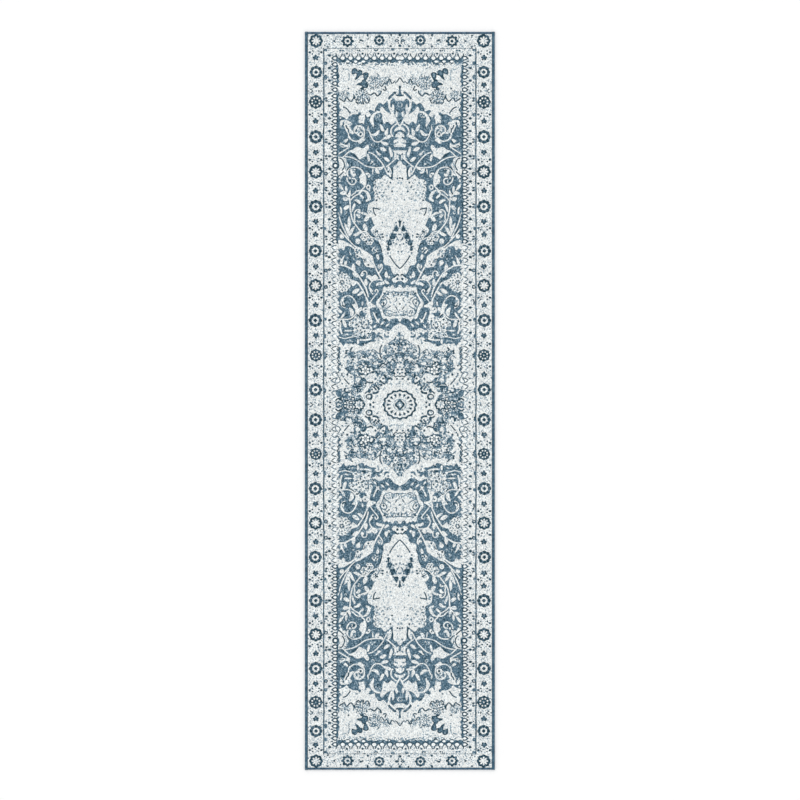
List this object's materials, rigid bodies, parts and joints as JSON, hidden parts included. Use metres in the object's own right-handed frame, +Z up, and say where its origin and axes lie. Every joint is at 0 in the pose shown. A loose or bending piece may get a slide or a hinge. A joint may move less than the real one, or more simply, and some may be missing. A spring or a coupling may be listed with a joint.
{
  "type": "runner rug",
  "caption": "Long narrow patterned rug that lies flat, with a cut pile face, a bonded back, whipped long sides over a filler cord and serged short ends.",
  "frame": {"origin": "on the floor under the middle of the rug: the centre of the bounding box's bottom face", "axes": "+X across the rug, +Y along its length, +Z up from the floor through the back to the pile"},
  "size_m": [0.785, 3.048, 0.0088],
  "materials": {
    "pile_yarn": "short cut pile in ivory, steel blue and dark slate blue, matt with a soft sheen",
    "ground_weave": "undyed plain weave of spun yarn, matt",
    "latex": "thin cream latex soaked into the back of the weave, dull, with the weave showing through",
    "edge_yarn": "steel blue plied yarn wrapped side by side, soft sheen",
    "filler_cord": "twisted undyed cord, matt",
    "seam_thread": "off-white twisted sewing thread, slight sheen",
    "label_satin": "blank white satin tape, soft gloss"
  },
  "bodies": {
    "root": {"face_pile": "pile_yarn", "ground_cloth": "ground_weave", "latex_coat": "latex", "side_whipping_left": "edge_yarn", "side_whipping_right": "edge_yarn", "selvedge_cord_left": "filler_cord", "selvedge_cord_right": "filler_cord", "end_serging_near": "edge_yarn", "end_serging_far": "edge_yarn", "end_seam_near": "seam_thread", "end_seam_far": "seam_thread", "corner_tack_near_left": "edge_yarn", "corner_tack_near_right": "edge_yarn", "corner_tack_far_left": "edge_yarn", "corner_tack_far_right": "edge_yarn", "care_label": "label_satin"}
  },
  "joints": []
}
